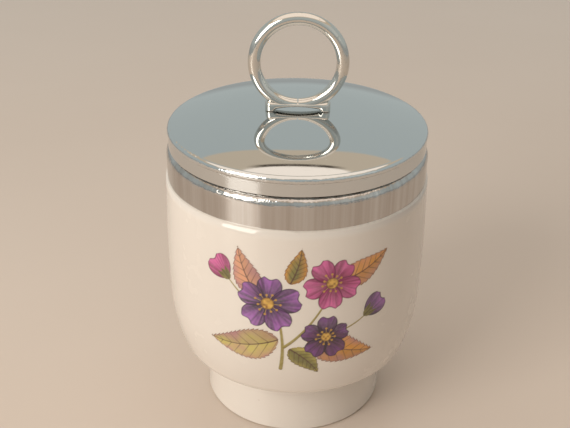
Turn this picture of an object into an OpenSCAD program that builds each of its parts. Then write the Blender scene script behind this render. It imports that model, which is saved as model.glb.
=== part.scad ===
// Porcelain egg coddler: a deep glazed cup on a foot ring, a metal collar bedded on its neck,
// and a shallow domed screw cap with a lifting ring.
// Millimetres. The cup stands on z = 0 and its axis is the Z axis. The ring lies in the XZ plane.

/* [Cup] */
// widest outside diameter of the porcelain body
body_d = 64; // [60:0.5:70]
// height of the widest part of the body
belly_z = 43; // [40:0.5:46]
// height of the ledge under the collar
ledge_z = 62.4; // [60:0.2:68]
// radius of the long bow of the side
side_bow_r = 330; // [250:10:600]
// radius of the heel, where the side starts to draw in
heel_r = 45; // [42:1:50]
// height where the heel starts
heel_top_z = 31; // [30:0.5:32]
// radius of the bottom corner
corner_r = 4; // [3.5:0.1:5]
// height where the bottom corner starts
corner_top_z = 18; // [17.5:0.1:19]
// slope of the underside from the corner in to the foot, in degrees
under_slope = 31; // [26:1:34]
// outside diameter of the foot
foot_d = 46; // [43:0.5:47]
// how much the foot draws in from its base to its top, on the radius
foot_taper = 0.6; // [0.2:0.1:1]
// radius of the fillet between foot and underside
foot_fillet_r = 1.5; // [1:0.1:2]
// wall thickness of the foot ring
foot_wall = 4.2; // [3.5:0.1:5]
// depth of the recess inside the foot ring
recess_h = 12; // [9:0.5:12]
// thickness of the cup's floor
floor_t = 4; // [3.5:0.1:5]
// wall thickness of the body at its widest
wall_t = 3.9; // [3.4:0.1:4.2]
// radius between the inside wall and the floor
inside_corner_r = 12; // [9:0.5:14]
// wall thickness of the neck
neck_wall = 2.6; // [2.3:0.1:3]
// gap between the cup's lip and the inside of the cap
lip_gap = 0.2; // [0.1:0.05:0.4]

/* [Collar] */
// how far the collar's band stands inside the widest part of the body, on the radius
collar_inset = 0.95; // [0.9:0.05:1.2]
// height of the collar's band
band_h = 7.45; // [6.5:0.05:8]
// radius of the rounded shoulder on top of the band
shoulder_r = 2; // [1.2:0.1:2.2]
// thickness of the collar's metal
collar_t = 0.8; // [0.6:0.05:0.9]

/* [Cap] */
// how far the cap's skirt stands inside the collar's band, on the radius
skirt_inset = 0.55; // [0.4:0.05:0.8]
// parting gap between the collar's shoulder and the cap's skirt
parting_gap = 0.25; // [0.15:0.05:0.4]
// height of the cap from the skirt's lower edge to the rim
cap_h = 4.55; // [4.3:0.05:6]
// rise of the dome above the rim
dome_rise = 2.95; // [2.8:0.05:3.2]
// radius of the dome's flat middle
dome_r = 185; // [175:5:220]
// radius of the dome's edge, where it rolls down to the rim
edge_r = 85; // [75:5:95]
// thickness of the cap's metal
cap_t = 0.6; // [0.5:0.05:0.7]
// radius of the bead round the rim
bead_r = 1; // [0.7:0.05:1.1]
// how far the bead stands out over the skirt
bead_out = 0.2; // [0.1:0.05:0.3]
// wall thickness of the threaded ring inside the cap
thread_ring_t = 0.8; // [0.7:0.05:0.9]
// room between the threaded ring's bore and the collar's neck, which the two threads share
thread_room = 0.9; // [0.8:0.05:1]

/* [Lifting ring] */
// diameter of the ring's wire
wire_d = 2.94; // [2.5:0.02:3.2]
// diameter of the circle along the middle of the wire
ring_d = 20.3; // [18:0.1:23]
// width of the slit where the ends of the wire meet
slit_w = 0.25; // [0.15:0.05:0.4]
// length of the saddle under the ring
saddle_len = 15.2; // [14:0.2:16]
// width of the saddle
saddle_w = 3.3; // [3.2:0.1:4.5]
// height of the gap under the saddle's arch
arch_h = 0.85; // [0.6:0.05:1]
// thickness of the saddle between its arch and the wire
saddle_t = 0.5; // [0.4:0.05:0.8]
// height of the saddle's cheeks over the wire's seat, at mid length
cheek_h = 0.7; // [0.5:0.05:0.9]
// length of each foot of the saddle
saddle_foot = 1.8; // [1.4:0.1:2.4]

/* [Hidden] */
fine = 160;
coarse = 64;
over = 1;
body_r = body_d / 2;
foot_r = foot_d / 2;
foot_top_r = foot_r - foot_taper;

// the body's outline runs down as three arcs, each tangent to the next, and ends in a cone
side_c = [body_r - side_bow_r, belly_z];
side_end_a = asin((belly_z - heel_top_z) / side_bow_r);
heel_c = arc_point(side_c, side_bow_r - heel_r, side_end_a);
heel_end_a = asin((heel_c[1] - corner_top_z) / heel_r);
corner_c = arc_point(heel_c, heel_r - corner_r, heel_end_a);
corner_end_a = 90 - under_slope;
corner_end = arc_point(corner_c, corner_r, corner_end_a);
foot_top_z = corner_end[1] - (corner_end[0] - foot_top_r) * tan(under_slope);
ledge_round = 0.4;
ledge_r = arc_x(side_c, side_bow_r, ledge_z - ledge_round);

// the metalwork's radii, from the outside in
collar_r = body_r - collar_inset;
skirt_r = collar_r - skirt_inset;
rim_r = skirt_r + bead_out;
cap_in_r = skirt_r - cap_t;
solder_gap = 0.05;
thread_ring_r = cap_in_r - solder_gap;
bore_r = thread_ring_r - thread_ring_t;
neck_tube_r = bore_r - thread_room;
neck_tube_in_r = neck_tube_r - collar_t;
bedding_t = 0.4;
neck_r = neck_tube_in_r - bedding_t;
mouth_r = neck_r - neck_wall;

// the metalwork's heights
band_top_z = ledge_z + band_h;
skirt_z = band_top_z + parting_gap;
rim_z = skirt_z + cap_h;
crown_z = rim_z + dome_rise;
dome_edge_r = rim_r - bead_r;
dome_c = [0, crown_z - dome_r];

// the dome's two arcs are tangent at knee_a from the axis, and the outer one ends on the rim
centre_gap = dome_r - edge_r;
rim_reach = norm([dome_edge_r, dome_r - dome_rise]);
rim_share = (rim_reach * rim_reach + centre_gap * centre_gap - edge_r * edge_r) / (2 * centre_gap * rim_reach);
knee_a = atan2(dome_edge_r, dome_r - dome_rise) - acos(rim_share);
edge_c = [centre_gap * sin(knee_a), dome_c[1] + centre_gap * cos(knee_a)];

// the cup's lip and the threads fit under the dome
lip_round = neck_wall / 2;
lip_z = arc_z(edge_c, edge_r - cap_t, neck_r) - lip_gap;
neck_tube_top_z = lip_z - 1.3;
thread_ring_z = skirt_z + 0.5;
thread_ring_top_z = arc_z(edge_c, edge_r - cap_t, thread_ring_r) - 0.4;

// the inside of the cup
inside_r = body_r - wall_t;
floor_z = recess_h + floor_t;
shoulder_in_r = 4;
shoulder_a = acos(1 - (inside_r - mouth_r) / (2 * shoulder_in_r));
shoulder_rise = shoulder_in_r * sin(shoulder_a);
shoulder_top_z = ledge_z + 0.4;
shoulder_mid_z = shoulder_top_z - shoulder_rise;
shoulder_low_z = shoulder_mid_z - shoulder_rise;

// the ring and its saddle
wire_r = wire_d / 2;
seat_z = crown_z + arch_h + saddle_t;
ring_sink = 1.55;
ring_z = seat_z - ring_sink + wire_r + ring_d / 2;
cheek_sag = 0.5;
groove_gap = 0.02;

function arc_point(c, r, a) = [c[0] + r * cos(a), c[1] - r * sin(a)];
function arc_x(c, r, z) = c[0] + sqrt(r * r - (z - c[1]) * (z - c[1]));
function arc_z(c, r, x) = c[1] + sqrt(r * r - (x - c[0]) * (x - c[0]));

// a rectangle in a half section, given by its radii and heights
module band(r0, r1, z0, z1) {
    translate([r0, z0])
        square([r1 - r0, z1 - z0]);
}

// the part of a disc that lies in a half section between two heights
module disc_slab(c, r, z0, z1) {
    intersection() {
        translate(c)
            circle(r = r, $fn = fine);
        band(0, 200, z0, z1);
    }
}

// turns a half section about the cup's axis
module turned() {
    rotate_extrude($fn = fine)
        children();
}

// the body's outside, from the ledge down to the foot; each arc reaches up inside the one above
module body_outline() {
    disc_slab(side_c, side_bow_r, heel_top_z, ledge_z - ledge_round);
    disc_slab(heel_c, heel_r, corner_top_z, heel_top_z + over);
    disc_slab(corner_c, corner_r, corner_end[1], corner_top_z + over);
    polygon([
        [0, foot_top_z],
        [foot_top_r, foot_top_z],
        corner_end,
        corner_c,
        [0, corner_top_z + over]
    ]);
    band(0, ledge_r - ledge_round, heel_top_z, ledge_z);
    translate([ledge_r - ledge_round, ledge_z - ledge_round])
        circle(r = ledge_round, $fn = coarse);
}

// the foot, its rounded lower edge and the fillet under the body
module foot_outline() {
    edge = 0.7;
    f = foot_fillet_r;
    fillet_z = foot_top_z + f * tan(under_slope) - f / cos(under_slope);
    polygon([
        [0, edge],
        [foot_r, edge],
        [foot_top_r, fillet_z],
        [foot_top_r, foot_top_z],
        [0, foot_top_z + over]
    ]);
    band(0, foot_r - edge, 0, edge + over);
    disc_slab([foot_r - edge, edge], edge, 0, edge);
    difference() {
        polygon([
            [foot_top_r, fillet_z],
            [foot_top_r + f * (1 - sin(under_slope)), fillet_z + f * cos(under_slope)],
            [foot_top_r, foot_top_z]
        ]);
        translate([foot_top_r + f, fillet_z])
            circle(r = f, $fn = coarse);
    }
}

// the neck that carries the collar, with its rounded lip
module neck_outline() {
    band(0, neck_r, ledge_z, lip_z - lip_round);
    translate([neck_r - lip_round, lip_z - lip_round])
        circle(r = lip_round, $fn = coarse);
}

// the hollow of the cup, from its rounded floor to its mouth
module cup_hollow() {
    c = inside_corner_r;
    s = shoulder_in_r;
    band(0, inside_r - c, floor_z, floor_z + c + over);
    disc_slab([inside_r - c, floor_z + c], c, floor_z, floor_z + c + over);
    band(0, inside_r, floor_z + c, shoulder_low_z);
    disc_slab([inside_r - s, shoulder_low_z], s, shoulder_low_z - over, shoulder_mid_z + over);
    difference() {
        band(0, mouth_r + s, shoulder_mid_z, shoulder_top_z);
        translate([mouth_r + s, shoulder_top_z])
            circle(r = s, $fn = coarse);
    }
    band(0, mouth_r, shoulder_low_z, lip_z + over);
}

// the recess inside the foot ring, rounded where its wall meets its ceiling
module foot_recess() {
    r = foot_r - foot_wall;
    c = 2.5;
    edge = 0.7;
    band(0, r, -over, recess_h - c);
    band(0, r - c, -over, recess_h);
    disc_slab([r - c, recess_h - c], c, recess_h - c - over, recess_h);
    polygon([[r, -over], [r + edge + over, -over], [r, edge]]);
}

// the porcelain cup
module cup() {
    color("#efe6d3")
        turned()
            difference() {
                union() {
                    body_outline();
                    foot_outline();
                    neck_outline();
                }
                cup_hollow();
                foot_recess();
            }
}

// the cement that beds the collar, filling the room inside its band and round the neck
module collar_bedding() {
    color("#c9c2b4")
        turned() {
            band(neck_r, collar_r - collar_t, ledge_z, band_top_z - collar_t - shoulder_r);
            band(neck_r, collar_r - collar_t - shoulder_r, ledge_z, band_top_z - collar_t);
            band(neck_r, neck_tube_in_r, ledge_z, neck_tube_top_z - 0.3);
        }
}

// half section of the collar's outside or, drawn in by its thickness, of its inside
module collar_outline(inset) {
    r = collar_r - inset;
    top = band_top_z - inset;
    s = shoulder_r - inset / 2;
    band(0, r, ledge_z - inset, top - s);
    band(0, r - s, ledge_z - inset, top);
    translate([r - s, top - s])
        circle(r = s, $fn = coarse);
    band(0, neck_tube_r - inset, ledge_z - inset, neck_tube_top_z + inset);
}

// the collar: a plain band with a rounded shoulder, and the tube that carries the thread
module collar() {
    color("#c4c6c8")
        turned()
            difference() {
                collar_outline(0);
                collar_outline(collar_t);
            }
}

// the ring with the cap's thread, soldered inside the skirt
module lid_thread_ring() {
    lead = 0.4;
    color("#b9bbbd")
        turned()
            polygon([
                [bore_r + lead, thread_ring_z],
                [thread_ring_r, thread_ring_z],
                [thread_ring_r, thread_ring_top_z],
                [bore_r, thread_ring_top_z],
                [bore_r, thread_ring_z + lead]
            ]);
}

// everything under the dome or, drawn in by its thickness, under its inside
module under_dome(inset) {
    knee_r = (dome_r - inset) * sin(knee_a);
    knee_z = dome_c[1] + (dome_r - inset) * cos(knee_a);
    lap = 0.3;
    disc_slab(dome_c, dome_r - inset, knee_z, crown_z + over);
    disc_slab(edge_c, edge_r - inset, skirt_z - over, knee_z + lap);
    band(0, knee_r / 2, skirt_z - over, knee_z + lap / 2);
}

// the cap: a shallow dome, a beaded rim and a plain skirt, open below
module lid_shell() {
    color("#d2d4d6")
        turned()
            difference() {
                union() {
                    band(0, skirt_r, skirt_z, rim_z - bead_r);
                    band(0, dome_edge_r, rim_z - bead_r, rim_z);
                    translate([dome_edge_r, rim_z - bead_r])
                        circle(r = bead_r, $fn = coarse);
                    intersection() {
                        band(0, dome_edge_r, skirt_z, crown_z + over);
                        under_dome(0);
                    }
                }
                intersection() {
                    band(0, cap_in_r, skirt_z - over, crown_z);
                    under_dome(cap_t);
                }
            }
}

// the wire of the lifting ring, made thicker by grow
module wire_loop(grow) {
    translate([0, 0, ring_z])
        rotate([90, 0, 0])
            rotate_extrude($fn = fine)
                translate([ring_d / 2, 0])
                    circle(r = wire_r + grow, $fn = coarse);
}

// side view of the saddle: two feet on the dome, an arch between them, and a hollow top
module saddle_side() {
    half = saddle_len / 2;
    foot_out = half - 0.4;
    inner = half - saddle_foot;
    end_round = 0.6;
    cheek_z = seat_z + cheek_h;
    end_z = cheek_z + cheek_sag;
    top_half = half - end_round;
    top_r = (top_half * top_half + cheek_sag * cheek_sag) / (2 * cheek_sag);
    arch_r = (inner * inner + arch_h * arch_h) / (2 * arch_h);
    difference() {
        union() {
            for (side = [-1, 1])
                translate([side * (half - end_round), end_z - end_round])
                    circle(r = end_round, $fn = coarse);
            polygon([
                [-foot_out, arc_z(dome_c, dome_r, foot_out)],
                [-inner, arc_z(dome_c, dome_r, inner)],
                [inner, arc_z(dome_c, dome_r, inner)],
                [foot_out, arc_z(dome_c, dome_r, foot_out)],
                [half, end_z - end_round],
                [half - end_round, end_z],
                [end_round - half, end_z],
                [-half, end_z - end_round]
            ]);
        }
        translate([0, crown_z + arch_h - arch_r])
            circle(r = arch_r, $fn = fine);
        translate([0, cheek_z + top_r])
            circle(r = top_r, $fn = fine);
    }
}

// the saddle, grooved for the wire
module ring_saddle() {
    color("#c9cbcd")
        difference() {
            translate([0, saddle_w / 2, 0])
                rotate([90, 0, 0])
                    linear_extrude(height = saddle_w)
                        saddle_side();
            intersection() {
                wire_loop(groove_gap);
                translate([-saddle_len, -saddle_w, seat_z])
                    cube([2 * saddle_len, 2 * saddle_w, ring_d]);
            }
        }
}

// the lifting ring: a loop of wire, filed flat where it sits, its ends butted over the saddle
module lifting_ring() {
    color("#d6d8da")
        difference() {
            wire_loop(0);
            translate([-ring_d, -ring_d, seat_z - ring_d])
                cube([2 * ring_d, 2 * ring_d, ring_d]);
            translate([-slit_w / 2, -wire_d, seat_z - over])
                cube([slit_w, 2 * wire_d, ring_d / 2]);
        }
}

cup();
collar_bedding();
collar();
lid_thread_ring();
lid_shell();
ring_saddle();
lifting_ring();
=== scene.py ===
"""Looks for the porcelain egg coddler: camera, studio, materials, screw threads and the printed sprig."""

import math

import bmesh
import bpy
import numpy as np
from mathutils import Matrix, Vector


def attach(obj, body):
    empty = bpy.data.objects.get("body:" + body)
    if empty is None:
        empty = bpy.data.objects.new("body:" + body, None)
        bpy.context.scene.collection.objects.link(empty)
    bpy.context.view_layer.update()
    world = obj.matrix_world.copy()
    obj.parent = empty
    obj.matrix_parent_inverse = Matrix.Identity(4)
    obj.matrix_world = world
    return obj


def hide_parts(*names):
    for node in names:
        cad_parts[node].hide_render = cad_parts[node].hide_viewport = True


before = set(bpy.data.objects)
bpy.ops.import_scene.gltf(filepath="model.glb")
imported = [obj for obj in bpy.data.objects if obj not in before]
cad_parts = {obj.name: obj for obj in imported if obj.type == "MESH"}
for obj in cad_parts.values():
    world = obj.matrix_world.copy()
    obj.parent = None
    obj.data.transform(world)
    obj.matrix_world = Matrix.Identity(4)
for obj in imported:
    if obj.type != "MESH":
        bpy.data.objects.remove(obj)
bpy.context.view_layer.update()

# metres in a millimetre; sizes below are in millimetres unless they say otherwise
MM = 0.001

# the solids' own sizes, for what is fitted to them here
BODY_R, BELLY_Z, SIDE_BOW_R, LEDGE_Z = 32.0, 43.0, 330.0, 62.4
HEEL_R, HEEL_TOP_Z = 45.0, 31.0
NECK_TUBE_R, CAP_BORE_R = 28.15, 29.05
THREAD_LEAD = 3.0
DOME_R, DOME_CENTRE_Z = 185.0, -107.4
SADDLE_HALF_LEN, SADDLE_FOOT_FROM = 7.6, 5.0
ARCH_R, ARCH_TOP_Z = 20.21, 78.45


# ---------------------------------------------------------------- camera and studio

# the camera that was fitted to the photograph, its place in metres
CAMERA_PLACE = (0.0, -0.19414, 0.15440)
CAMERA_DOWN = math.radians(28.34)
CAMERA_LEFT = math.radians(0.80)
CAMERA_ROLL = math.radians(0.63)
LENS_MM = 55.92
SENSOR_MM = 36.0
# the sine of the angle over the horizon at which the ceiling's lit panel starts
PANEL_FROM = 0.752


def add_object(name, data):
    obj = bpy.data.objects.new(name, data)
    bpy.context.scene.collection.objects.link(obj)
    return obj


def add_camera():
    data = bpy.data.cameras.new("photo_camera")
    data.lens = LENS_MM
    data.sensor_width = SENSOR_MM
    data.clip_start = 0.01
    obj = add_object("photo_camera", data)
    aim = (
        Matrix.Rotation(CAMERA_LEFT, 4, "Z")
        @ Matrix.Rotation(math.pi / 2 - CAMERA_DOWN, 4, "X")
        @ Matrix.Rotation(CAMERA_ROLL, 4, "Z")
    )
    obj.matrix_world = Matrix.Translation(CAMERA_PLACE) @ aim
    bpy.context.scene.camera = obj


def srgb(r, g, b):
    """A colour written as 0 to 255 values, as the linear colour that a shader takes."""
    out = []
    for value in (r, g, b):
        v = value / 255
        out.append(v / 12.92 if v <= 0.04045 else ((v + 0.055) / 1.055) ** 2.4)
    return (*out, 1.0)


def add_area_light(name, place, target, size, watts, colour):
    """A soft lamp that faces its target, with places and sizes in metres."""
    data = bpy.data.lights.new(name, "AREA")
    data.shape = "RECTANGLE"
    data.size, data.size_y = size
    data.energy = watts
    data.color = srgb(*colour)[:3]
    obj = add_object(name, data)
    obj.location = place
    away = Vector(place) - Vector(target)
    obj.rotation_euler = away.to_track_quat("Z", "Y").to_euler()


class Nodes:
    """A small helper that builds one material's node tree."""

    def __init__(self, tree):
        self.tree = tree
        tree.nodes.clear()

    def add(self, kind, links=None, **settings):
        node = self.tree.nodes.new(kind)
        for key, value in settings.items():
            setattr(node, key, value)
        for socket, source in (links or {}).items():
            if isinstance(source, bpy.types.NodeSocket):
                self.tree.links.new(source, node.inputs[socket])
            else:
                node.inputs[socket].default_value = source
        return node

    def noise(self, vector, scale, detail, rough=0.5):
        links = {"Vector": vector, "Scale": scale, "Detail": detail, "Roughness": rough}
        return self.add("ShaderNodeTexNoise", links).outputs["Fac"]

    def remap(self, value, low, high, to_low, to_high):
        links = {"Value": value, "From Min": low, "From Max": high, "To Min": to_low, "To Max": to_high}
        return self.add("ShaderNodeMapRange", links).outputs["Result"]

    def math(self, operation, a, b=0.0):
        return self.add("ShaderNodeMath", {0: a, 1: b}, operation=operation).outputs[0]

    def mix(self, factor, a, b):
        """From colour a to colour b, on the node's own colour sockets."""
        return self.add("ShaderNodeMix", {0: factor, 6: a, 7: b}, data_type="RGBA").outputs[2]

    def ramp(self, value, stops):
        node = self.add("ShaderNodeValToRGB", {"Fac": value})
        points = node.color_ramp.elements
        for index, (at, colour) in enumerate(stops):
            point = points[index] if index < 2 else points.new(at)
            point.position = at
            point.color = colour
        return node.outputs["Color"]

    def bump(self, height, strength, distance, normal=None):
        links = {"Height": height, "Strength": strength, "Distance": distance}
        if normal is not None:
            links["Normal"] = normal
        return self.add("ShaderNodeBump", links).outputs["Normal"]


def new_material(name):
    """A material, the helper for its nodes, and the place on the object that is shaded, in metres."""
    material = bpy.data.materials.new(name)
    material.use_nodes = True
    n = Nodes(material.node_tree)
    return material, n, n.add("ShaderNodeTexCoord").outputs["Object"]


def finish_material(n, shader):
    n.add("ShaderNodeOutputMaterial", {"Surface": shader.outputs[0]})


def finish_bare(n, colour, rough, normal=None, metallic=0.0):
    """A surface with no coat over it: metal, cement or floor."""
    links = {"Base Color": colour, "Metallic": metallic, "Roughness": rough}
    if normal is not None:
        links["Normal"] = normal
    finish_material(n, n.add("ShaderNodeBsdfPrincipled", links))


def room_colour(n, height, across):
    """A pale cool wall, a warm ceiling, and a lit panel in it with a dark slot along its edge.

    height is the sine of the angle at which a ray points up: the ceiling starts at forty degrees.
    """
    haze, wall = srgb(176, 180, 178), srgb(198, 206, 204)
    ceiling, panel = srgb(226, 208, 184), srgb(240, 226, 212)
    room = n.ramp(
        height,
        [(0.0, haze), (0.10, wall), (0.636, wall), (0.644, ceiling), (PANEL_FROM, ceiling), (0.756, panel)],
    )
    over = n.remap(height, 0.738, 0.742, 0.0, 1.0)
    under = n.remap(height, PANEL_FROM, 0.755, 1.0, 0.0)
    ends = n.remap(n.math("ABSOLUTE", across), 0.10, 0.16, 0.9, 0.0)
    slot = n.math("MULTIPLY", n.math("MULTIPLY", over, under), ends)
    return n.mix(slot, room, srgb(60, 50, 44))


def room_share(n, direction, height):
    """How much of its light the room gives: least in front, most behind, all to camera and mirror rays."""
    dim = 0.16
    behind_left = (-0.45, 0.90, 0.0)
    behind = n.add("ShaderNodeVectorMath", {0: direction, 1: behind_left}, operation="DOT_PRODUCT")
    around = n.remap(behind.outputs["Value"], -0.60, 0.40, dim, 1.0)
    share = n.math("MAXIMUM", around, n.remap(height, 0.50, 0.80, dim, 0.70))
    path = n.add("ShaderNodeLightPath").outputs
    mirrored = n.math("MAXIMUM", path["Is Glossy Ray"], path["Is Transmission Ray"])
    seen = n.math("MAXIMUM", path["Is Camera Ray"], mirrored)
    return n.math("MAXIMUM", share, seen)


def add_world():
    world = bpy.data.worlds.new("studio")
    world.use_nodes = True
    bpy.context.scene.world = world
    n = Nodes(world.node_tree)
    direction = n.add("ShaderNodeTexCoord").outputs["Generated"]
    split = n.add("ShaderNodeSeparateXYZ", {0: direction}).outputs
    lit = n.remap(split["Z"], PANEL_FROM, 0.758, 0.88, 1.45)
    strength = n.math("MULTIPLY", room_share(n, direction, split["Z"]), lit)
    colour = room_colour(n, split["Z"], split["X"])
    light = n.add("ShaderNodeBackground", {"Color": colour, "Strength": strength})
    n.add("ShaderNodeOutputWorld", {"Surface": light.outputs[0]})


def add_floor():
    """A pale disc just under the foot, its reach in metres."""
    reach, sides = 0.60, 128
    turns = [2 * math.pi * k / sides for k in range(sides)]
    rim = [(reach * math.cos(a), reach * math.sin(a), 0) for a in turns]
    mesh = bpy.data.meshes.new("floor")
    mesh.from_pydata(rim, [], [tuple(range(sides))])
    floor = add_object("floor", mesh)
    floor.location.z = -0.02 * MM
    material, n, place = new_material("pale_floor")
    colour = n.mix(n.noise(place, 9.0, 4.0), srgb(214, 200, 188), srgb(220, 207, 196))
    finish_bare(n, colour, 0.26)
    mesh.materials.append(material)


def add_studio():
    add_camera()
    add_world()
    add_floor()
    middle = (0, 0, 0.05)
    add_area_light("window", (-0.46, -0.44, 0.36), middle, (0.35, 0.45), 3.0, (255, 248, 238))
    add_area_light("fill", (0.55, -0.45, 0.40), middle, (0.5, 0.5), 0.1, (255, 236, 218))
    bpy.context.scene.view_settings.view_transform = "Standard"


# ---------------------------------------------------------------- materials

# where the glaze starts to roll over towards the ledge, and a radius between the cup's two faces there
ROLL_FROM_Z, OUTSIDE_FROM_R = 60.0, 29.5


def glaze_colour(n, place):
    """Warm ivory with slow drifts of tone and a few kiln specks."""
    drift = n.noise(place, 45.0, 3.0)
    base = n.mix(drift, srgb(239, 230, 221), srgb(243, 236, 228))
    specks = n.add("ShaderNodeTexVoronoi", {"Vector": place, "Scale": 260.0, "Randomness": 1.0})
    lone = n.add("ShaderNodeTexWhiteNoise", {"Vector": specks.outputs["Position"]}, noise_dimensions="3D")
    near = n.remap(specks.outputs["Distance"], 0.0, 0.10, 1.0, 0.0)
    chosen = n.math("GREATER_THAN", lone.outputs["Value"], 0.972)
    amount = n.math("MULTIPLY", n.math("MULTIPLY", near, chosen), 0.35)
    return n.mix(amount, base, srgb(150, 118, 88))


def ledge_drop(n, place, height):
    """How far the glaze has rolled over towards the ledge, from 0 to 1, on the cup's outside alone."""
    flat = n.add("ShaderNodeVectorMath", {0: place, 1: (1.0, 1.0, 0.0)}, operation="MULTIPLY")
    radius = n.add("ShaderNodeVectorMath", {0: flat.outputs["Vector"]}, operation="LENGTH")
    outside = n.math("GREATER_THAN", radius.outputs["Value"], OUTSIDE_FROM_R * MM)
    near = n.remap(height, ROLL_FROM_Z * MM, LEDGE_Z * MM, 0.0, 1.0)
    return n.math("MULTIPLY", n.math("MULTIPLY", near, near), outside)


def glaze_shader(n, place, colour):
    """Clear glaze over ivory body; the unglazed foot rim is matt."""
    height = n.add("ShaderNodeSeparateXYZ", {0: place}).outputs["Z"]
    glazed = n.remap(height, 0.15 * MM, 0.5 * MM, 0.0, 1.0)
    body = n.mix(glazed, srgb(226, 214, 196), colour)
    ripple = n.noise(place, 55.0, 1.0)
    pits = n.noise(place, 900.0, 1.0)
    rolled = n.bump(n.math("MULTIPLY", ledge_drop(n, place, height), -1.0), 1.0, 0.85 * MM)
    swell = n.bump(ripple, 0.10, 0.06 * MM, rolled)
    normal = n.bump(pits, 0.04, 0.01 * MM, swell)
    rough = n.remap(n.noise(place, 120.0, 3.0), 0.3, 0.7, 0.24, 0.28)
    # the coat does the mirroring, so the body under it has little shine of its own
    return n.add(
        "ShaderNodeBsdfPrincipled",
        {
            "Base Color": body,
            "Roughness": rough,
            "IOR": 1.5,
            "Specular IOR Level": 0.1,
            "Coat Weight": glazed,
            "Coat Roughness": 0.03,
            "Coat IOR": 1.55,
            "Normal": normal,
            "Coat Normal": swell,
        },
    )


def make_glaze():
    material, n, place = new_material("glazed_porcelain")
    finish_material(n, glaze_shader(n, place, glaze_colour(n, place)))
    return material


def make_print():
    """The same glaze with the printed colours under it."""
    material, n, place = new_material("glazed_print")
    ink = n.add("ShaderNodeVertexColor", layer_name="ink")
    colour = n.mix(ink.outputs["Alpha"], glaze_colour(n, place), ink.outputs["Color"])
    finish_material(n, glaze_shader(n, place, colour))
    return material


def round_the_axis(n, place, tall):
    """Coordinates that run round the axis in x and along it in z, both in metres at a radius of 30 mm."""
    split = n.add("ShaderNodeSeparateXYZ", {0: place})
    turn = n.math("ARCTAN2", split.outputs["Y"], split.outputs["X"])
    across = n.math("MULTIPLY", turn, 30 * MM)
    along = n.math("MULTIPLY", split.outputs["Z"], tall)
    return n.add("ShaderNodeCombineXYZ", {"X": across, "Z": along}).outputs[0]


def edge_dents(n, place, low, high):
    """Small dents where the plate is rolled over, between two heights in millimetres."""
    up = n.add("ShaderNodeSeparateXYZ", {0: place}).outputs["Z"]
    low, high, fade = low * MM, high * MM, 0.3 * MM
    above = n.remap(up, low, low + fade, 0.0, 1.0)
    below = n.remap(up, high, high + fade, 1.0, 0.0)
    uneven = n.math("SUBTRACT", n.noise(place, 520.0, 3.0, 0.6), 0.5)
    return n.math("MULTIPLY", n.math("MULTIPLY", above, below), uneven)


def make_chrome(name, tint, smooth, worn, streaks, edge):
    """Plated metal with hair scratches, its roughness between smooth and worn.

    streaks is how far the finish changes from side to side, as on a band polished up and down.
    edge is the two heights between which a rolled edge is a little dented.
    """
    material, n, place = new_material(name)
    smudge = n.remap(n.noise(place, 120.0, 4.0, 0.6), 0.35, 0.75, smooth, worn)
    slanted = {"Vector": place, "Rotation": (0.3, 0.2, 0.9), "Scale": (1.0, 14.0, 14.0)}
    stretched = n.add("ShaderNodeMapping", slanted)
    hairs = n.noise(stretched.outputs[0], 400.0, 2.0)
    scratch = n.remap(hairs, 0.66, 0.74, 0.0, 0.10)
    rough = n.math("ADD", smudge, scratch)
    colour = tint
    height = n.math("MULTIPLY", hairs, 0.4)
    if streaks:
        ring = round_the_axis(n, place, 0.02)
        bands = n.noise(ring, 900.0, 3.0, 0.7)
        rough = n.math("ADD", rough, n.remap(bands, 0.45, 0.8, 0.0, streaks))
        height = n.math("ADD", height, n.math("MULTIPLY", bands, 1.2))
        broad = n.noise(round_the_axis(n, place, 0.004), 160.0, 3.0, 0.6)
        drift = n.math("ADD", n.math("MULTIPLY", bands, 0.45), n.math("MULTIPLY", broad, 0.55))
        colour = n.mix(n.remap(drift, 0.38, 0.62, 0.0, 1.0), srgb(182, 176, 171), tint)
    wave = n.bump(n.noise(place, 70.0, 1.0), 0.25, 0.05 * MM)
    rolled = n.bump(edge_dents(n, place, *edge), 1.0, 0.18 * MM, wave)
    normal = n.bump(height, 0.08, 0.02 * MM, rolled)
    finish_bare(n, colour, rough, normal, metallic=1.0)
    return material


def make_ring_chrome():
    """Chrome on cast wire: fine pits and rubbed patches."""
    material, n, place = new_material("ring_chrome")
    cells = n.add("ShaderNodeTexVoronoi", {"Vector": place, "Scale": 1500.0})
    pit = n.remap(cells.outputs["Distance"], 0.0, 0.22, 0.0, 1.0)
    rubbed = n.noise(place, 260.0, 4.0, 0.6)
    sparse = n.remap(rubbed, 0.50, 0.62, 1.0, 0.0)
    depth = n.math("MAXIMUM", pit, sparse)
    colour = n.mix(depth, srgb(150, 142, 132), srgb(212, 209, 203))
    rough = n.remap(rubbed, 0.35, 0.7, 0.06, 0.16)
    normal = n.bump(depth, 0.30, 0.03 * MM, n.bump(n.noise(place, 300.0, 2.0), 0.2, 0.05 * MM))
    finish_bare(n, colour, rough, normal, metallic=1.0)
    return material


def make_thread_metal():
    """Plating turned on a lathe, with grime in it."""
    material, n, place = new_material("thread_metal")
    ring = round_the_axis(n, place, 20.0)
    turned = n.noise(ring, 300.0, 3.0)
    grime = n.noise(place, 350.0, 4.0)
    colour = n.mix(n.remap(grime, 0.4, 0.7, 0.0, 1.0), srgb(196, 192, 184), srgb(142, 132, 116))
    rough = n.remap(turned, 0.3, 0.7, 0.22, 0.42)
    finish_bare(n, colour, rough, n.bump(turned, 0.2, 0.02 * MM), metallic=1.0)
    return material


def make_cement():
    """Matt gritty bedding, hidden behind the collar."""
    material, n, place = new_material("cement")
    grit = n.noise(place, 2200.0, 4.0, 0.7)
    colour = n.mix(grit, srgb(188, 180, 166), srgb(222, 214, 200))
    finish_bare(n, colour, 0.9, n.bump(grit, 0.5, 0.08 * MM))
    return material


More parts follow.
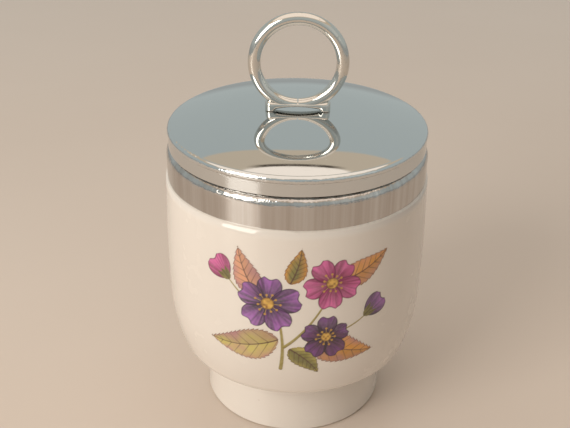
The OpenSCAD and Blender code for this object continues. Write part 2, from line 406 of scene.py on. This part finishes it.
def dress(node, material):
    """Gives a CAD node its material and smooth shading between its sharp edges."""
    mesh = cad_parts[node].data
    mesh.materials.clear()
    mesh.materials.append(material)
    mesh.shade_smooth()
    mesh.set_sharp_from_angle(angle=math.radians(30))


# ---------------------------------------------------------------- screw threads


def loft(name, sections, material):
    """A closed mesh through sections that each have the same number of points, in millimetres."""
    bm = bmesh.new()
    rings = [[bm.verts.new((x * MM, y * MM, z * MM)) for x, y, z in section] for section in sections]
    count = len(rings[0])
    for a, b in zip(rings, rings[1:]):
        for k in range(count):
            bm.faces.new((a[k], b[k], b[(k + 1) % count], a[(k + 1) % count]))
    bm.faces.new(rings[0])
    bm.faces.new(rings[-1][::-1])
    bmesh.ops.recalc_face_normals(bm, faces=bm.faces)
    mesh = bpy.data.meshes.new(name)
    bm.to_mesh(mesh)
    bm.free()
    mesh.materials.append(material)
    mesh.shade_smooth()
    return mesh


def helix_sections(root_r, crest_r, start_z, start_angle, turns):
    """Sections along a right-hand ridge that runs out at both ends, its root sunk into what carries it."""
    sunk = 0.05 if crest_r < root_r else -0.05
    half_root, half_crest = 0.45, 0.18
    end_height, run_out = 0.2, 14
    steps = int(140 * turns)
    sections = []
    for i in range(steps + 1):
        t = i / steps
        angle = math.radians(start_angle + 360 * turns * t)
        grown = min(1.0, end_height + min(t, 1 - t) * turns * run_out)
        crest = root_r + (crest_r - root_r) * grown
        half = half_crest * grown + half_root * 0.9 * (1 - grown)
        z = start_z + THREAD_LEAD * turns * t
        outline = [
            (root_r + sunk, z - half_root),
            (crest, z - half),
            (crest, z + half),
            (root_r + sunk, z + half_root),
        ]
        sections.append([(r * math.cos(angle), r * math.sin(angle), h) for r, h in outline])
    return sections


def add_ridge(name, sections, material, body):
    mesh = loft(name, sections, material)
    mesh.set_sharp_from_angle(angle=math.radians(50))
    ridge = add_object(name, mesh)
    bevel = ridge.modifiers.new("soft_edges", "BEVEL")
    bevel.width = 0.06 * MM
    bevel.segments = 2
    bevel.limit_method = "ANGLE"
    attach(ridge, body)


def add_threads(neck_metal, cap_metal):
    """A two-start thread: two ridges on the collar's neck, and two in the cap midway between them."""
    depth = 0.70
    neck_z, neck_turns = 70.60, 0.66
    cap_z, cap_turns, cap_ahead = 71.45, 0.54, 12
    for tag, side in (("a", 0), ("b", 180)):
        neck = helix_sections(NECK_TUBE_R, NECK_TUBE_R + depth, neck_z, side, neck_turns)
        add_ridge("neck_thread_" + tag, neck, neck_metal, "cup")
        cap = helix_sections(CAP_BORE_R, CAP_BORE_R - depth, cap_z, side + cap_ahead, cap_turns)
        add_ridge("cap_thread_" + tag, cap, cap_metal, "lid")


# ---------------------------------------------------------------- the ring's saddle

SADDLE_HALF_W, SADDLE_SUNK = 1.62, 0.04
SADDLE_ROUND_FROM = 6.3
CHEEK_TOP_Z = 79.62
# how much higher the cheeks stand at the saddle's ends than at its middle
CHEEK_RISE = 0.648


def saddle_section(x):
    """One closed section of the saddle at x: a rounded bar over its arch, with a foot at each end."""
    far = abs(x)
    seat_z = math.sqrt(DOME_R**2 - x * x) + DOME_CENTRE_Z - SADDLE_SUNK
    arch_z = math.sqrt(ARCH_R**2 - x * x) - ARCH_R + ARCH_TOP_Z
    foot = min(1.0, max(0.0, far - SADDLE_FOOT_FROM))
    foot = foot * foot * (3 - 2 * foot)
    end = min(1.0, max(0.0, (far - SADDLE_ROUND_FROM) / (SADDLE_HALF_LEN - SADDLE_ROUND_FROM)))
    # 0.98 and not 1, so that the last section isn't drawn to a point
    rounding = 1 - math.sqrt(1 - 0.98 * end * end)
    low = max(arch_z, seat_z) * (1 - foot) + seat_z * foot
    high = CHEEK_TOP_Z + CHEEK_RISE * (far / SADDLE_HALF_LEN) ** 2 - 1.10 * rounding
    half = (SADDLE_HALF_W + 0.16 * foot) * (1 - 0.80 * rounding)
    middle = (low + high) / 2
    points = []
    count = 32
    for k in range(count):
        a = 2 * math.pi * k / count
        c, s = math.cos(a), math.sin(a)
        power = 0.96 if s >= 0 else 0.96 - 0.55 * foot
        y = half * math.copysign(abs(c) ** power, c)
        z = middle + (high - low) / 2 * math.copysign(abs(s) ** power, s)
        drop = max(0.0, (middle - z) / (middle - low))
        y *= 1 + 0.16 * foot * drop**5
        points.append((x, y, z))
    return points


def add_saddle(material):
    """The saddle as it is cast: rounded all over, with its feet run into the cap by a little solder."""
    half_count = 48
    turns = [math.pi / 2 * k / half_count for k in range(-half_count, half_count + 1)]
    sections = [saddle_section(SADDLE_HALF_LEN * math.sin(a)) for a in turns]
    saddle = add_object("saddle_bar", loft("saddle_bar", sections, material))
    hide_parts("ring_saddle")
    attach(saddle, "lid")


# ---------------------------------------------------------------- the printed sprig

PRINT_HALF_W, PRINT_HALF_H, PRINT_MIDDLE_Z = 24.5, 18.0, 41.5
PRINT_STEP, PRINT_FILM = 0.13, 0.02
# below this cover the print has no film
LEAST_INK = 0.004


def tone(r, g, b):
    return np.array(srgb(r, g, b)[:3])


def soft(inside, width=0.14):
    """Cover from 0 to 1 across an outline, from the distance inside it in millimetres."""
    return np.clip(inside / width + 0.5, 0.0, 1.0)


def wash(a, b, share):
    share = np.clip(share, 0.0, 1.0)[..., None]
    return a * (1 - share) + b * share


def cloud(u, v, cell, seed):
    """Smooth seeded noise from 0 to 1, its lumps as large as cell."""
    table = np.random.default_rng(seed).random((64, 64))
    x, y = u / cell + 31.3, v / cell + 27.7
    i, j = np.floor(x).astype(int), np.floor(y).astype(int)
    fx, fy = x - i, y - j
    fx, fy = fx * fx * (3 - 2 * fx), fy * fy * (3 - 2 * fy)
    low = table[i % 64, j % 64] * (1 - fx) + table[(i + 1) % 64, j % 64] * fx
    high = table[i % 64, (j + 1) % 64] * (1 - fx) + table[(i + 1) % 64, (j + 1) % 64] * fx
    return low * (1 - fy) + high * fy


class Sprig:
    """Paints stems, leaves and blossoms on a grid of places, right and up from the print's middle."""

    def __init__(self, u, v):
        self.u, self.v = u, v
        self.colour = np.zeros(u.shape + (3,))
        self.cover = np.zeros(u.shape)
        self.grain = cloud(u, v, 0.45, 3) * 0.6 + cloud(u, v, 1.6, 4) * 0.4

    def lay(self, cover, colour):
        """Puts one colour, or one for each place, over what is painted already."""
        cover = cover * (0.90 + 0.10 * self.grain)
        self.colour = self.colour * (1 - cover[..., None]) + colour * cover[..., None]
        self.cover = self.cover * (1 - cover) + cover

    def stem(self, start, knee, end, width):
        """A stem along a curve that thins towards its end, lit from above."""
        dark, light = tone(120, 98, 44), tone(186, 172, 84)
        near = np.full(self.u.shape, np.inf)
        along = np.zeros(self.u.shape)
        over = np.zeros(self.u.shape)
        for t in np.linspace(0, 1, 70):
            a, b, c = (1 - t) ** 2, 2 * t * (1 - t), t * t
            x = a * start[0] + b * knee[0] + c * end[0]
            y = a * start[1] + b * knee[1] + c * end[1]
            gap = np.hypot(self.u - x, self.v - y)
            closer = gap < near
            near = np.where(closer, gap, near)
            along = np.where(closer, t, along)
            over = np.where(closer, self.v - y, over)
        half = width * (0.5 - 0.28 * along)
        self.lay(soft(half - near), wash(dark, light, 0.5 + over / (2 * half)))

    def seen_from(self, base, tip):
        """Places as seen from a base: along the line to a tip, and to the left of it."""
        du, dv = tip[0] - base[0], tip[1] - base[1]
        length = math.hypot(du, dv)
        cu, cv = du / length, dv / length
        x = (self.u - base[0]) * cu + (self.v - base[1]) * cv
        y = (self.v - base[1]) * cu - (self.u - base[0]) * cv
        return x, y, length

    def leaf(self, base, tip, half, bend, heart, edge_tone, vein, seed):
        """A toothed leaf, half being half its greatest width and bend its midrib's bow to the left."""
        x, y, length = self.seen_from(base, tip)
        s = np.clip(x / length, 0.0, 1.0)
        y = y - bend * 4 * s * (1 - s)
        wide = half * np.sin(math.pi * s**0.72) ** 0.85 * (1.06 - 0.3 * s)
        side = np.abs(y)
        teeth = 0.09 * half * np.mod(s * length / 1.15 + side / half * 0.6, 1.0)
        inside = np.minimum(wide - teeth - side, np.minimum(x, length - x))
        across = side / np.maximum(wide, 0.2)
        mottled = cloud(self.u, self.v, 1.9, seed) - 0.5
        paint = wash(heart, edge_tone, across**1.3 + 0.9 * mottled)
        paint = paint * np.where(y < 0, 0.80, 1.0)[..., None]
        self.lay(soft(inside), paint)
        rung = (x - side * 0.9) / (length / 7.5)
        off = np.abs(rung - np.round(rung)) * (length / 7.5) * 0.74
        ribs = soft(0.10 * (1 - 0.6 * across) - off, 0.16) * soft(inside - 0.1)
        self.lay(ribs * 0.75, vein)
        self.lay(soft(0.17 * (1 - 0.6 * s) - side) * soft(inside - 0.08), vein)
        self.lay(soft(0.12 - np.abs(inside - 0.10)) * 0.65, vein)

    def petal(self, middle, angle, radius, wide, dark, light, seed):
        """A frilled and notched petal, wide being its half width as a share of its length."""
        tip = (middle[0] + radius * math.cos(angle), middle[1] + radius * math.sin(angle))
        x, y, length = self.seen_from(middle, tip)
        s = x / length
        frill = 0.05 * (cloud(np.arctan2(y, x + 0.01) * 9, s * 0, 1.0, seed) - 0.5)
        body = np.sqrt(np.clip(1 - ((s - 0.55) / (0.47 + frill)) ** 2, 0.0, 1.0))
        notch = 0.10 * np.exp(-((y / (0.16 * radius)) ** 2))
        inside = np.minimum(
            (wide * body * (0.72 + 0.5 * np.clip(s, 0, 1)) - np.abs(y) / radius) * radius,
            np.minimum(1.0 - notch - s, s - 0.05) * radius,
        )
        streak = cloud(np.arctan2(y, np.maximum(x, 0.05)) * 14, s * 1.5, 1.0, seed + 9) - 0.5
        glow = np.clip((s - 0.25) * 1.5, 0, 1) * (1 - 0.5 * np.clip(np.abs(y) / (wide * radius), 0, 1))
        paint = wash(dark, light, glow + 0.75 * streak * np.clip(s * 2, 0, 1))
        self.lay(soft(inside), paint)
        self.lay(soft(0.13 - np.abs(inside - 0.08)) * 0.8, dark * 0.45)

    def blossom(self, middle, radius, turn, dark, light, seed):
        """Five petals, two of them over the rest, round a ring of stamens and a gold middle."""
        for k in (0, 2, 4, 1, 3):
            angle = math.radians(turn + 72 * k)
            self.petal(middle, angle, radius * (0.94 + 0.03 * k), 0.40, dark, light, seed + k)
        du, dv = self.u - middle[0], self.v - middle[1]
        reach = np.hypot(du, dv)
        gold = wash(tone(150, 98, 30), tone(232, 186, 86), cloud(self.u, self.v, 0.5, seed) * 1.3 - 0.1)
        for k in range(11):
            angle = math.radians(turn + 33 * k + 10)
            far = radius * (0.30 + 0.05 * (k % 3))
            x = du * math.cos(angle) + dv * math.sin(angle)
            y = dv * math.cos(angle) - du * math.sin(angle)
            self.lay(soft(np.minimum(0.05 - np.abs(y), np.minimum(x, far - x)), 0.12), tone(214, 178, 96))
            self.lay(soft(0.27 - np.hypot(x - far, y), 0.12), tone(206, 156, 62))
        self.lay(soft(0.20 * radius - reach), gold)
        self.lay(soft(0.14 - np.abs(reach - 0.20 * radius)) * 0.6, tone(96, 58, 24))

    def bud(self, base, tip, half, dark, light, seed):
        """One closed petal in a cup of three small leaves."""
        angle = math.atan2(tip[1] - base[1], tip[0] - base[0])
        length = math.hypot(tip[0] - base[0], tip[1] - base[1])
        self.petal(base, angle, length, half / length * 1.4, dark, light, seed)
        heart, edge_tone, vein = tone(128, 122, 56), tone(186, 174, 92), tone(88, 78, 34)
        for turn, size in ((-0.42, 0.55), (0.42, 0.55), (0.0, 0.5)):
            end = (
                base[0] + length * size * math.cos(angle + turn),
                base[1] + length * size * math.sin(angle + turn),
            )
            self.leaf(base, end, half * 0.32, 0.0, heart, edge_tone, vein, seed)


def paint_sprig(u, v):
    """A loose spray of five-petalled blossoms, buds and toothed leaves."""
    plum, mauve = tone(50, 14, 66), tone(168, 96, 188)
    wine, pink = tone(132, 6, 82), tone(226, 100, 172)
    night, violet = tone(36, 8, 42), tone(122, 58, 140)
    rose, peach, gold = tone(196, 136, 134), tone(228, 158, 116), tone(230, 156, 44)
    olive, straw, vein = tone(126, 120, 40), tone(206, 190, 92), tone(84, 48, 38)
    art = Sprig(u, v)
    art.stem((-3, -15.5), (-1.5, -6), (-5, 4), 0.95)
    art.stem((-2.2, -9), (4, -4), (9, 7), 0.8)
    art.stem((-3, -3), (-10, 1), (-16, 8), 0.7)
    art.stem((1.5, -5.5), (11, -7), (17.5, -2), 0.7)
    art.leaf((-3.5, -7), (-21, -10.5), 4.6, 1.2, straw, rose, vein, 11)
    art.leaf((3, -5.5), (20, -13), 4.8, -1.3, gold, rose, vein, 12)
    art.leaf((-8, 4), (-13, 16), 3.6, 0.8, peach, rose, vein, 13)
    art.leaf((10, 8), (22.5, 13.5), 3.6, -0.9, gold, peach, vein, 14)
    art.leaf((-1, -9.5), (6, -17), 3.0, 0.7, olive, straw, vein, 15)
    art.leaf((-1, 8), (1.5, 17), 2.6, -0.5, olive, gold, vein, 16)
    art.bud((-15, 7), (-19.5, 11.5), 2.3, wine, pink, 21)
    art.bud((16.5, -2.6), (21.8, 1.2), 2.2, plum, mauve, 22)
    art.blossom((7.4, -6.4), 5.9, 15, night, violet, 31)
    art.blossom((8.4, 7.8), 6.6, 50, wine, pink, 41)
    art.blossom((-6.0, 2.6), 7.4, 84, plum, mauve, 51)
    covered = art.cover > LEAST_INK
    art.colour[covered] /= art.cover[covered][:, None]
    art.colour[~covered] = tone(238, 226, 210)
    return np.clip(art.colour, 0, 1), np.clip(art.cover, 0, 1) * 0.97


def cup_wall_r(z):
    """The cup's outside radius at heights from the bow of its side down into its heel."""
    lean = math.asin((BELLY_Z - HEEL_TOP_Z) / SIDE_BOW_R)
    heel_centre_r = BODY_R - SIDE_BOW_R + (SIDE_BOW_R - HEEL_R) * math.cos(lean)
    heel_centre_z = BELLY_Z - (SIDE_BOW_R - HEEL_R) * math.sin(lean)
    bow = np.sqrt(SIDE_BOW_R**2 - (z - BELLY_Z) ** 2) + BODY_R - SIDE_BOW_R
    heel = np.sqrt(HEEL_R**2 - (z - heel_centre_z) ** 2) + heel_centre_r
    return np.where(z >= HEEL_TOP_Z, bow, heel)


def add_print(material):
    """The print as a film on the cup's front, with a colour and a cover at each of its points."""
    across = np.arange(-PRINT_HALF_W, PRINT_HALF_W, PRINT_STEP)
    up = np.arange(-PRINT_HALF_H, PRINT_HALF_H, PRINT_STEP)
    u, v = np.meshgrid(across, up)
    colour, cover = paint_sprig(u, v)
    z = v + PRINT_MIDDLE_Z
    r = cup_wall_r(z) + PRINT_FILM
    turn = u / BODY_R
    place = np.stack([r * np.sin(turn), -r * np.cos(turn), z], axis=-1) * MM
    index = np.arange(u.size).reshape(u.shape)
    corners = [index[:-1, :-1], index[:-1, 1:], index[1:, 1:], index[1:, :-1]]
    faces = np.stack(corners, axis=-1).reshape(-1, 4)
    faces = faces[cover.reshape(-1)[faces].max(axis=1) > LEAST_INK]
    used, packed = np.unique(faces, return_inverse=True)
    mesh = bpy.data.meshes.new("printed_sprig")
    mesh.from_pydata(place.reshape(-1, 3)[used].tolist(), [], packed.reshape(-1, 4).tolist())
    ink = mesh.color_attributes.new("ink", "FLOAT_COLOR", "POINT")
    values = np.concatenate([colour.reshape(-1, 3)[used], cover.reshape(-1, 1)[used]], axis=1)
    ink.data.foreach_set("color", values.astype(np.float32).reshape(-1))
    mesh.materials.append(material)
    mesh.shade_smooth()
    sprig = add_object("printed_sprig", mesh)
    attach(sprig, "cup")


# ---------------------------------------------------------------- run


add_studio()
glaze = make_glaze()
collar_chrome = make_chrome(
    "collar_chrome", srgb(204, 202, 200), smooth=0.05, worn=0.12, streaks=0.10, edge=(67.9, 69.9)
)
cap_chrome = make_chrome(
    "cap_chrome", srgb(210, 212, 212), smooth=0.02, worn=0.06, streaks=0.0, edge=(72.6, 74.1)
)
ring_chrome = make_ring_chrome()
thread_metal = make_thread_metal()
dress("cup", glaze)
dress("collar_bedding", make_cement())
dress("collar", collar_chrome)
dress("lid_thread_ring", thread_metal)
dress("lid_shell", cap_chrome)
dress("ring_saddle", ring_chrome)
dress("lifting_ring", ring_chrome)
add_threads(collar_chrome, thread_metal)
add_saddle(ring_chrome)
add_print(make_print())
